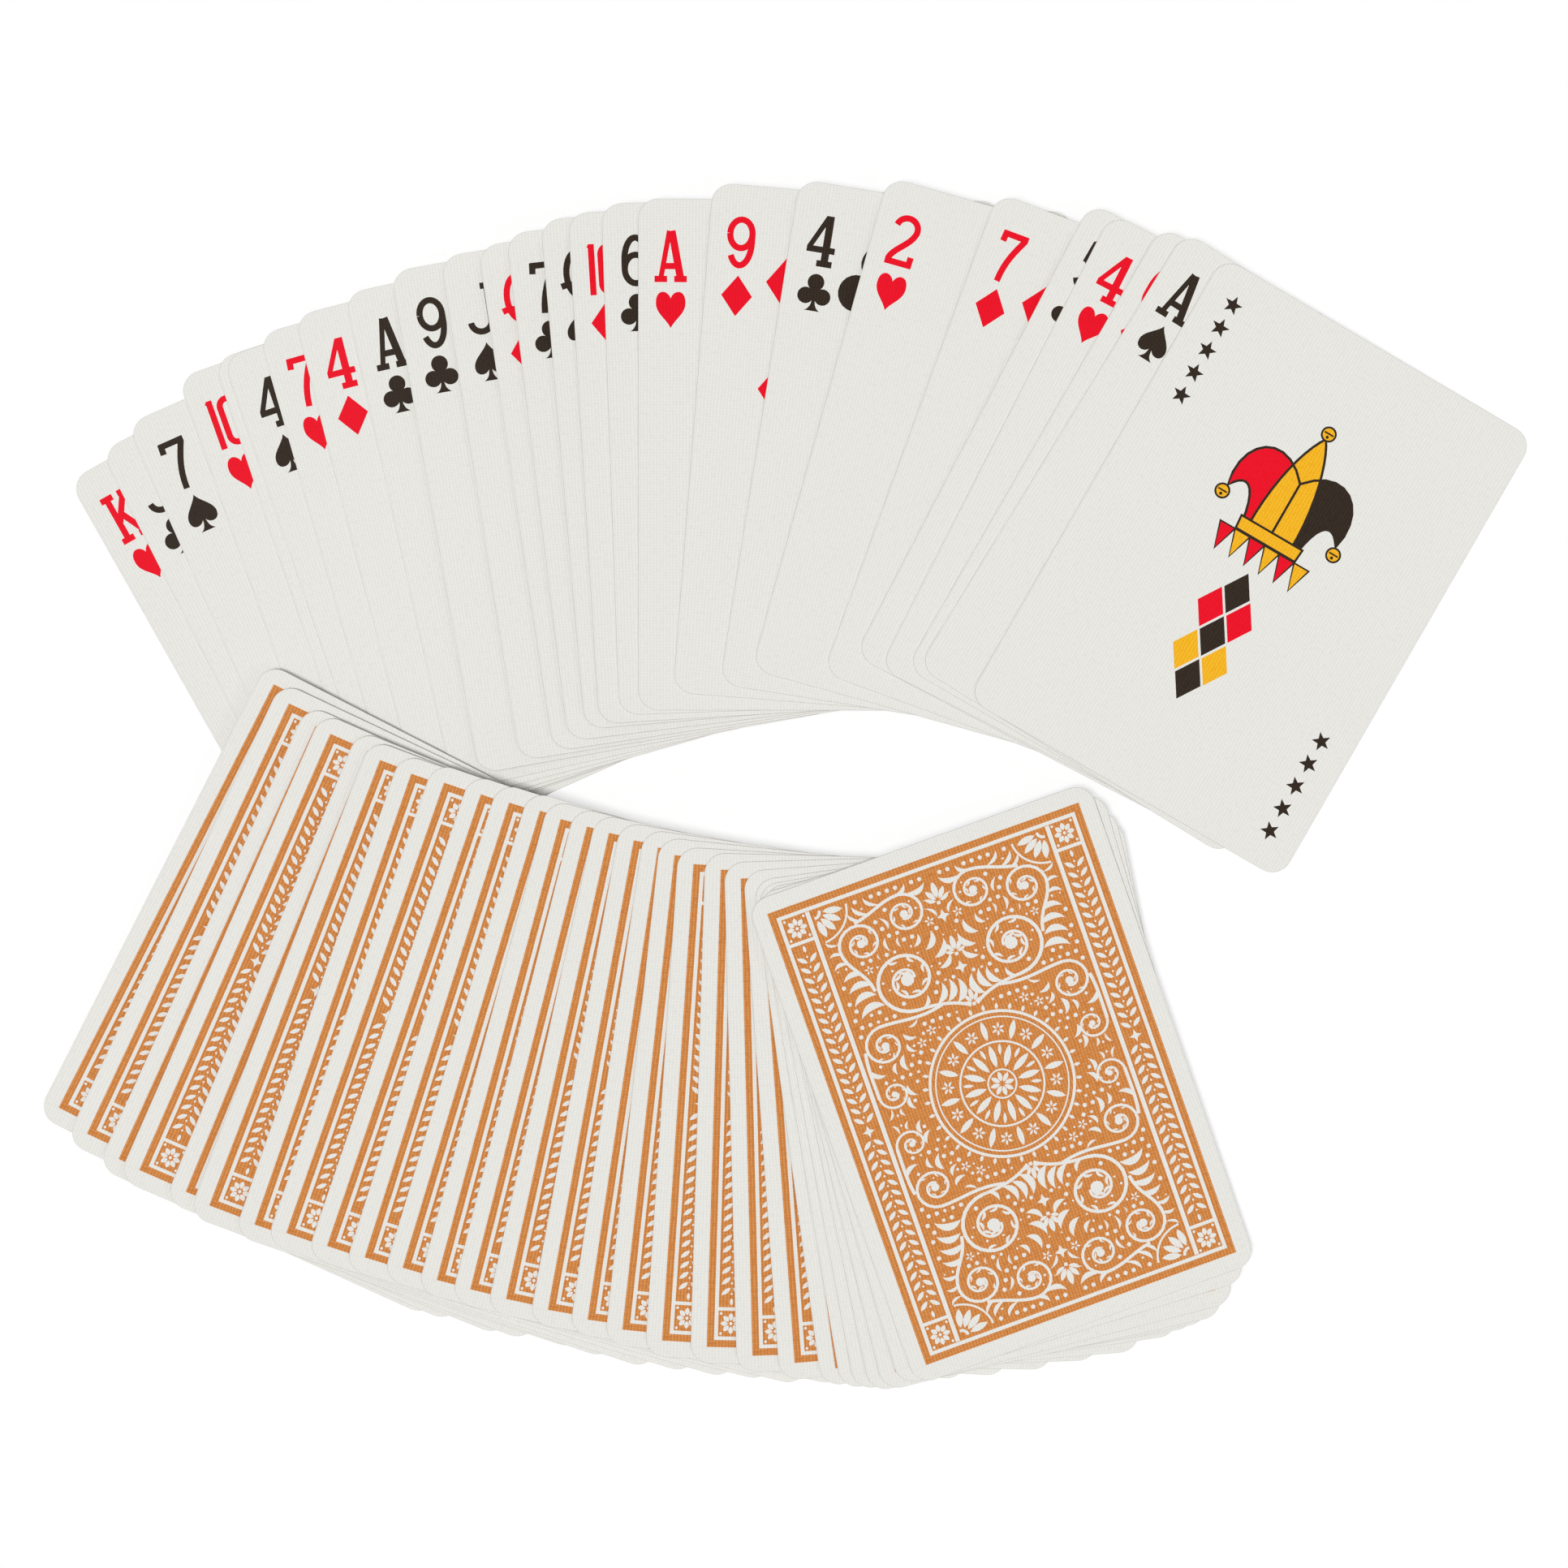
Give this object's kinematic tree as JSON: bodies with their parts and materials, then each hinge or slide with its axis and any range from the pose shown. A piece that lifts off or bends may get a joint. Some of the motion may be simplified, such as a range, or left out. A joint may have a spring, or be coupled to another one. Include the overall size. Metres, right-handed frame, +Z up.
{
  "type": "playing card deck",
  "caption": "Poker playing cards spread by hand in overlapping fans, the rear one face up and the front one face down, with each card free to slide out of its fan.",
  "frame": {"origin": "middle of the spread on the table", "axes": "+Z up, +X to the right along both fans, +Y away from the viewer towards the face-up fan"},
  "size_m": [0.2592, 0.21, 0.0135],
  "materials": {
    "card_face": "coated off-white card with a fine linen emboss, printed in red and warm black",
    "card_back": "coated card with a fine linen emboss, back printed in ochre orange inside a white margin"
  },
  "bodies": {
    "king_of_hearts": {"king_of_hearts": "card_face"},
    "jack_of_clubs": {"jack_of_clubs": "card_face"},
    "seven_of_spades": {"seven_of_spades": "card_face"},
    "ten_of_hearts": {"ten_of_hearts": "card_face"},
    "eight_of_clubs": {"eight_of_clubs": "card_face"},
    "four_of_spades": {"four_of_spades": "card_face"},
    "seven_of_hearts": {"seven_of_hearts": "card_face"},
    "four_of_diamonds": {"four_of_diamonds": "card_face"},
    "ace_of_clubs": {"ace_of_clubs": "card_face"},
    "nine_of_clubs": {"nine_of_clubs": "card_face"},
    "jack_of_spades": {"jack_of_spades": "card_face"},
    "queen_of_diamonds": {"queen_of_diamonds": "card_face"},
    "seven_of_clubs": {"seven_of_clubs": "card_face"},
    "queen_of_spades": {"queen_of_spades": "card_face"},
    "ten_of_diamonds": {"ten_of_diamonds": "card_face"},
    "six_of_clubs": {"six_of_clubs": "card_face"},
    "ace_of_hearts": {"ace_of_hearts": "card_face"},
    "nine_of_diamonds": {"nine_of_diamonds": "card_face"},
    "four_of_clubs": {"four_of_clubs": "card_face"},
    "two_of_hearts": {"two_of_hearts": "card_face"},
    "seven_of_diamonds": {"seven_of_diamonds": "card_face"},
    "five_of_clubs": {"five_of_clubs": "card_face"},
    "four_of_hearts": {"four_of_hearts": "card_face"},
    "six_of_diamonds": {"six_of_diamonds": "card_face"},
    "ace_of_spades": {"ace_of_spades": "card_face"},
    "red_joker": {"red_joker": "card_face"},
    "three_of_hearts": {"three_of_hearts": "card_back"},
    "ten_of_spades": {"ten_of_spades": "card_back"},
    "two_of_clubs": {"two_of_clubs": "card_back"},
    "eight_of_diamonds": {"eight_of_diamonds": "card_back"},
    "king_of_clubs": {"king_of_clubs": "card_back"},
    "five_of_spades": {"five_of_spades": "card_back"},
    "queen_of_hearts": {"queen_of_hearts": "card_back"},
    "nine_of_spades": {"nine_of_spades": "card_back"},
    "two_of_diamonds": {"two_of_diamonds": "card_back"},
    "three_of_clubs": {"three_of_clubs": "card_back"},
    "jack_of_hearts": {"jack_of_hearts": "card_back"},
    "six_of_spades": {"six_of_spades": "card_back"},
    "five_of_diamonds": {"five_of_diamonds": "card_back"},
    "king_of_spades": {"king_of_spades": "card_back"},
    "eight_of_hearts": {"eight_of_hearts": "card_back"},
    "ace_of_diamonds": {"ace_of_diamonds": "card_back"},
    "three_of_spades": {"three_of_spades": "card_back"},
    "ten_of_clubs": {"ten_of_clubs": "card_back"},
    "nine_of_hearts": {"nine_of_hearts": "card_back"},
    "queen_of_clubs": {"queen_of_clubs": "card_back"},
    "two_of_spades": {"two_of_spades": "card_back"},
    "king_of_diamonds": {"king_of_diamonds": "card_back"},
    "six_of_hearts": {"six_of_hearts": "card_back"},
    "three_of_diamonds": {"three_of_diamonds": "card_back"},
    "jack_of_diamonds": {"jack_of_diamonds": "card_back"},
    "eight_of_spades": {"eight_of_spades": "card_back"},
    "five_of_hearts": {"five_of_hearts": "card_back"},
    "black_joker": {"black_joker": "card_back"}
  },
  "joints": [
    {"name": "draw_jack_of_clubs", "type": "slide", "parent": "king_of_hearts", "child": "jack_of_clubs", "axis": [-0.454, 0.891, 0], "range_m": [0, 0.045]},
    {"name": "draw_seven_of_spades", "type": "slide", "parent": "king_of_hearts", "child": "seven_of_spades", "axis": [-0.4067, 0.9135, 0], "range_m": [0, 0.045]},
    {"name": "draw_ten_of_hearts", "type": "slide", "parent": "king_of_hearts", "child": "ten_of_hearts", "axis": [-0.3338, 0.9426, 0], "range_m": [0, 0.045]},
    {"name": "draw_eight_of_clubs", "type": "slide", "parent": "king_of_hearts", "child": "eight_of_clubs", "axis": [-0.3173, 0.9483, 0], "range_m": [0, 0.045]},
    {"name": "draw_four_of_spades", "type": "slide", "parent": "king_of_hearts", "child": "four_of_spades", "axis": [-0.3256, 0.9455, 0], "range_m": [0, 0.045]},
    {"name": "draw_seven_of_hearts", "type": "slide", "parent": "king_of_hearts", "child": "seven_of_hearts", "axis": [-0.2756, 0.9613, 0], "range_m": [0, 0.045]},
    {"name": "draw_four_of_diamonds", "type": "slide", "parent": "king_of_hearts", "child": "four_of_diamonds", "axis": [-0.2504, 0.9681, 0], "range_m": [0, 0.045]},
    {"name": "draw_ace_of_clubs", "type": "slide", "parent": "king_of_hearts", "child": "ace_of_clubs", "axis": [-0.2164, 0.9763, 0], "range_m": [0, 0.045]},
    {"name": "draw_nine_of_clubs", "type": "slide", "parent": "king_of_hearts", "child": "nine_of_clubs", "axis": [-0.1736, 0.9848, 0], "range_m": [0, 0.045]},
    {"name": "draw_jack_of_spades", "type": "slide", "parent": "king_of_hearts", "child": "jack_of_spades", "axis": [-0.1564, 0.9877, 0], "range_m": [0, 0.045]},
    {"name": "draw_queen_of_diamonds", "type": "slide", "parent": "king_of_hearts", "child": "queen_of_diamonds", "axis": [-0.1478, 0.989, 0], "range_m": [0, 0.045]},
    {"name": "draw_seven_of_clubs", "type": "slide", "parent": "king_of_hearts", "child": "seven_of_clubs", "axis": [-0.1219, 0.9925, 0], "range_m": [0, 0.045]},
    {"name": "draw_queen_of_spades", "type": "slide", "parent": "king_of_hearts", "child": "queen_of_spades", "axis": [-0.0872, 0.9962, 0], "range_m": [0, 0.045]},
    {"name": "draw_ten_of_diamonds", "type": "slide", "parent": "king_of_hearts", "child": "ten_of_diamonds", "axis": [-0.061, 0.9981, 0], "range_m": [0, 0.045]},
    {"name": "draw_six_of_clubs", "type": "slide", "parent": "king_of_hearts", "child": "six_of_clubs", "axis": [-0.0349, 0.9994, 0], "range_m": [0, 0.045]},
    {"name": "draw_ace_of_hearts", "type": "slide", "parent": "king_of_hearts", "child": "ace_of_hearts", "axis": [0, 1, 0], "range_m": [0, 0.045]},
    {"name": "draw_nine_of_diamonds", "type": "slide", "parent": "king_of_hearts", "child": "nine_of_diamonds", "axis": [0.0785, 0.9969, 0], "range_m": [0, 0.045]},
    {"name": "draw_four_of_clubs", "type": "slide", "parent": "king_of_hearts", "child": "four_of_clubs", "axis": [0.1564, 0.9877, 0], "range_m": [0, 0.045]},
    {"name": "draw_two_of_hearts", "type": "slide", "parent": "king_of_hearts", "child": "two_of_hearts", "axis": [0.2672, 0.9636, 0], "range_m": [0, 0.045]},
    {"name": "draw_seven_of_diamonds", "type": "slide", "parent": "king_of_hearts", "child": "seven_of_diamonds", "axis": [0.342, 0.9397, 0], "range_m": [0, 0.045]},
    {"name": "draw_five_of_clubs", "type": "slide", "parent": "king_of_hearts", "child": "five_of_clubs", "axis": [0.4617, 0.887, 0], "range_m": [0, 0.045]},
    {"name": "draw_four_of_hearts", "type": "slide", "parent": "king_of_hearts", "child": "four_of_hearts", "axis": [0.454, 0.891, 0], "range_m": [0, 0.045]},
    {"name": "draw_six_of_diamonds", "type": "slide", "parent": "king_of_hearts", "child": "six_of_diamonds", "axis": [0.5, 0.866, 0], "range_m": [0, 0.045]},
    {"name": "draw_ace_of_spades", "type": "slide", "parent": "king_of_hearts", "child": "ace_of_spades", "axis": [0.5225, 0.8526, 0], "range_m": [0, 0.045]},
    {"name": "draw_red_joker", "type": "slide", "parent": "king_of_hearts", "child": "red_joker", "axis": [0.5, 0.866, 0], "range_m": [0, 0.045]},
    {"name": "draw_three_of_hearts", "type": "slide", "parent": "king_of_hearts", "child": "three_of_hearts", "axis": [-0.8902, 0.4555, 0], "range_m": [0, 0.025]},
    {"name": "draw_ten_of_spades", "type": "slide", "parent": "king_of_hearts", "child": "ten_of_spades", "axis": [-0.9039, 0.4273, 0.02], "range_m": [0, 0.025]},
    {"name": "draw_two_of_clubs", "type": "slide", "parent": "king_of_hearts", "child": "two_of_clubs", "axis": [-0.9085, 0.4159, 0.04], "range_m": [0, 0.025]},
    {"name": "draw_eight_of_diamonds", "type": "slide", "parent": "king_of_hearts", "child": "eight_of_diamonds", "axis": [-0.9133, 0.4028, 0.0599], "range_m": [0, 0.025]},
    {"name": "draw_king_of_clubs", "type": "slide", "parent": "king_of_hearts", "child": "king_of_clubs", "axis": [-0.9209, 0.3815, 0.0797], "range_m": [0, 0.025]},
    {"name": "draw_five_of_spades", "type": "slide", "parent": "king_of_hearts", "child": "five_of_spades", "axis": [-0.9283, 0.3582, 0.0995], "range_m": [0, 0.025]},
    {"name": "draw_queen_of_hearts", "type": "slide", "parent": "king_of_hearts", "child": "queen_of_hearts", "axis": [-0.9381, 0.3285, 0.1093], "range_m": [0, 0.025]},
    {"name": "draw_nine_of_spades", "type": "slide", "parent": "king_of_hearts", "child": "nine_of_spades", "axis": [-0.9376, 0.3302, 0.1093], "range_m": [0, 0.025]},
    {"name": "draw_two_of_diamonds", "type": "slide", "parent": "king_of_hearts", "child": "two_of_diamonds", "axis": [-0.9404, 0.322, 0.1093], "range_m": [0, 0.025]},
    {"name": "draw_three_of_clubs", "type": "slide", "parent": "king_of_hearts", "child": "three_of_clubs", "axis": [-0.9469, 0.3022, 0.1093], "range_m": [0, 0.025]},
    {"name": "draw_jack_of_hearts", "type": "slide", "parent": "king_of_hearts", "child": "jack_of_hearts", "axis": [-0.9516, 0.2873, 0.1093], "range_m": [0, 0.025]},
    {"name": "draw_six_of_spades", "type": "slide", "parent": "king_of_hearts", "child": "six_of_spades", "axis": [-0.9597, 0.2589, 0.1093], "range_m": [0, 0.025]},
    {"name": "draw_five_of_diamonds", "type": "slide", "parent": "king_of_hearts", "child": "five_of_diamonds", "axis": [-0.9636, 0.2438, 0.1093], "range_m": [0, 0.025]},
    {"name": "draw_king_of_spades", "type": "slide", "parent": "king_of_hearts", "child": "king_of_spades", "axis": [-0.9704, 0.2151, 0.1093], "range_m": [0, 0.025]},
    {"name": "draw_eight_of_hearts", "type": "slide", "parent": "king_of_hearts", "child": "eight_of_hearts", "axis": [-0.9777, 0.1794, 0.1093], "range_m": [0, 0.025]},
    {"name": "draw_ace_of_diamonds", "type": "slide", "parent": "king_of_hearts", "child": "ace_of_diamonds", "axis": [-0.9831, 0.1469, 0.1093], "range_m": [0, 0.025]},
    {"name": "draw_three_of_spades", "type": "slide", "parent": "king_of_hearts", "child": "three_of_spades", "axis": [-0.988, 0.1091, 0.1093], "range_m": [0, 0.025]},
    {"name": "draw_ten_of_clubs", "type": "slide", "parent": "king_of_hearts", "child": "ten_of_clubs", "axis": [-0.9918, 0.0659, 0.1093], "range_m": [0, 0.025]},
    {"name": "draw_nine_of_hearts", "type": "slide", "parent": "king_of_hearts", "child": "nine_of_hearts", "axis": [-0.9936, 0.0295, 0.1093], "range_m": [0, 0.025]},
    {"name": "draw_queen_of_clubs", "type": "slide", "parent": "king_of_hearts", "child": "queen_of_clubs", "axis": [-0.9937, -0.0243, 0.1093], "range_m": [0, 0.025]},
    {"name": "draw_two_of_spades", "type": "slide", "parent": "king_of_hearts", "child": "two_of_spades", "axis": [-0.9915, -0.0711, 0.1093], "range_m": [0, 0.025]},
    {"name": "draw_king_of_diamonds", "type": "slide", "parent": "king_of_hearts", "child": "king_of_diamonds", "axis": [-0.985, -0.1332, 0.1093], "range_m": [0, 0.025]},
    {"name": "draw_six_of_hearts", "type": "slide", "parent": "king_of_hearts", "child": "six_of_hearts", "axis": [-0.9804, -0.1641, 0.1093], "range_m": [0, 0.025]},
    {"name": "draw_three_of_diamonds", "type": "slide", "parent": "king_of_hearts", "child": "three_of_diamonds", "axis": [-0.9774, -0.1811, 0.1093], "range_m": [0, 0.025]},
    {"name": "draw_jack_of_diamonds", "type": "slide", "parent": "king_of_hearts", "child": "jack_of_diamonds", "axis": [-0.973, -0.2033, 0.1093], "range_m": [0, 0.025]},
    {"name": "draw_eight_of_spades", "type": "slide", "parent": "king_of_hearts", "child": "eight_of_spades", "axis": [-0.9653, -0.2371, 0.1093], "range_m": [0, 0.025]},
    {"name": "draw_five_of_hearts", "type": "slide", "parent": "king_of_hearts", "child": "five_of_hearts", "axis": [-0.9531, -0.2823, 0.1093], "range_m": [0, 0.025]},
    {"name": "draw_black_joker", "type": "slide", "parent": "king_of_hearts", "child": "black_joker", "axis": [-0.9376, -0.3302, 0.1093], "range_m": [0, 0.025]}
  ]
}
